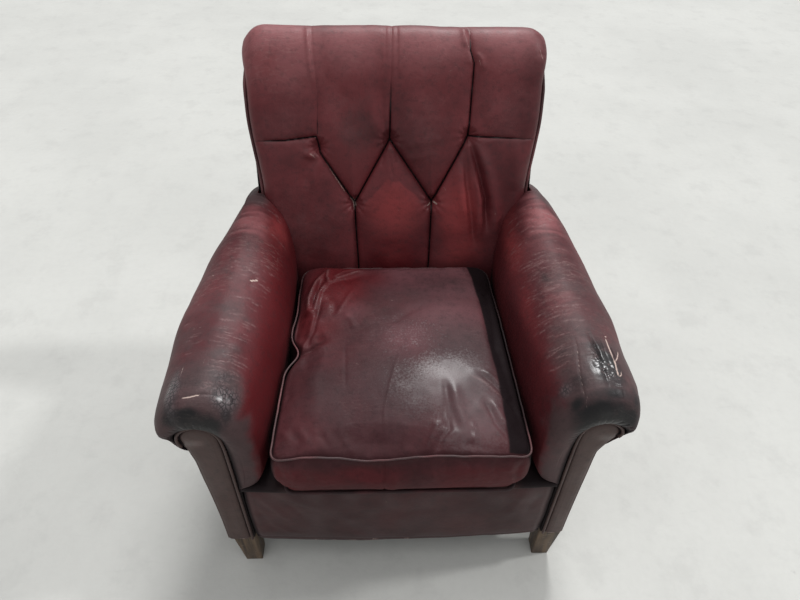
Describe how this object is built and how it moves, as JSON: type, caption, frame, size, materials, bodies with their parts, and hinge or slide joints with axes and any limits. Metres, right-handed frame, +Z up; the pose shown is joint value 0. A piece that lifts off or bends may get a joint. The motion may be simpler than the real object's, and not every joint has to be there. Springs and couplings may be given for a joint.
{
  "type": "club armchair",
  "caption": "Upholstered leather armchair with rolled scroll arms, a tufted raked back and a loose boxed seat cushion on square tapered wooden feet.",
  "frame": {"origin": "on the floor under the middle of the chair's outline", "axes": "+Z up, the front of the chair faces -Y, +X to the right of someone looking at the front"},
  "size_m": [0.8198, 0.8208, 0.8831],
  "materials": {
    "leather_red": "worn oxblood leather, half gloss",
    "leather_brown": "worn oxblood leather rubbed brown and charcoal, half gloss",
    "leather_dark": "dark oxblood leather, satin",
    "timber": "worn bare hardwood",
    "jute": "woven jute webbing",
    "canvas": "plain linen canvas",
    "spring_steel": "dull spring wire"
  },
  "bodies": {
    "root": {"inside_back": "leather_red", "seat_cushion": "leather_red", "arm_pad_left": "leather_brown", "arm_pad_right": "leather_brown", "arm_facing_left": "leather_brown", "arm_facing_right": "leather_brown", "outside_arm_left": "leather_brown", "outside_arm_right": "leather_brown", "front_border": "leather_dark", "seat_deck": "leather_dark", "back_side_left": "leather_dark", "back_side_right": "leather_dark", "outside_back": "leather_dark", "back_welt_left": "leather_dark", "back_welt_right": "leather_dark", "facing_welt_left": "leather_dark", "facing_welt_right": "leather_dark", "cushion_top_welt": "leather_dark", "cushion_bottom_welt": "leather_dark", "front_leg_left": "timber", "front_leg_right": "timber", "rear_leg_left": "timber", "rear_leg_right": "timber", "front_rail": "timber", "rear_rail": "timber", "side_rail_left": "timber", "side_rail_right": "timber", "front_corner_block_left": "timber", "front_corner_block_right": "timber", "rear_corner_block_left": "timber", "rear_corner_block_right": "timber", "arm_rail_left": "timber", "arm_rail_right": "timber", "arm_tacking_rail_left": "timber", "arm_tacking_rail_right": "timber", "back_top_rail": "timber", "back_lower_rail": "timber", "seat_strap_long_1": "jute", "seat_strap_long_2": "jute", "seat_strap_long_3": "jute", "seat_strap_cross_1": "jute", "seat_strap_cross_2": "jute", "seat_strap_cross_3": "jute", "back_strap_1": "jute", "back_strap_2": "jute", "back_strap_3": "jute", "spring_canvas": "canvas", "back_canvas": "canvas", "dust_cover": "canvas", "seat_spring_1": "spring_steel", "seat_spring_2": "spring_steel", "seat_spring_3": "spring_steel", "seat_spring_4": "spring_steel", "seat_spring_5": "spring_steel", "seat_spring_6": "spring_steel", "seat_spring_7": "spring_steel", "seat_spring_8": "spring_steel", "seat_spring_9": "spring_steel"}
  },
  "joints": []
}
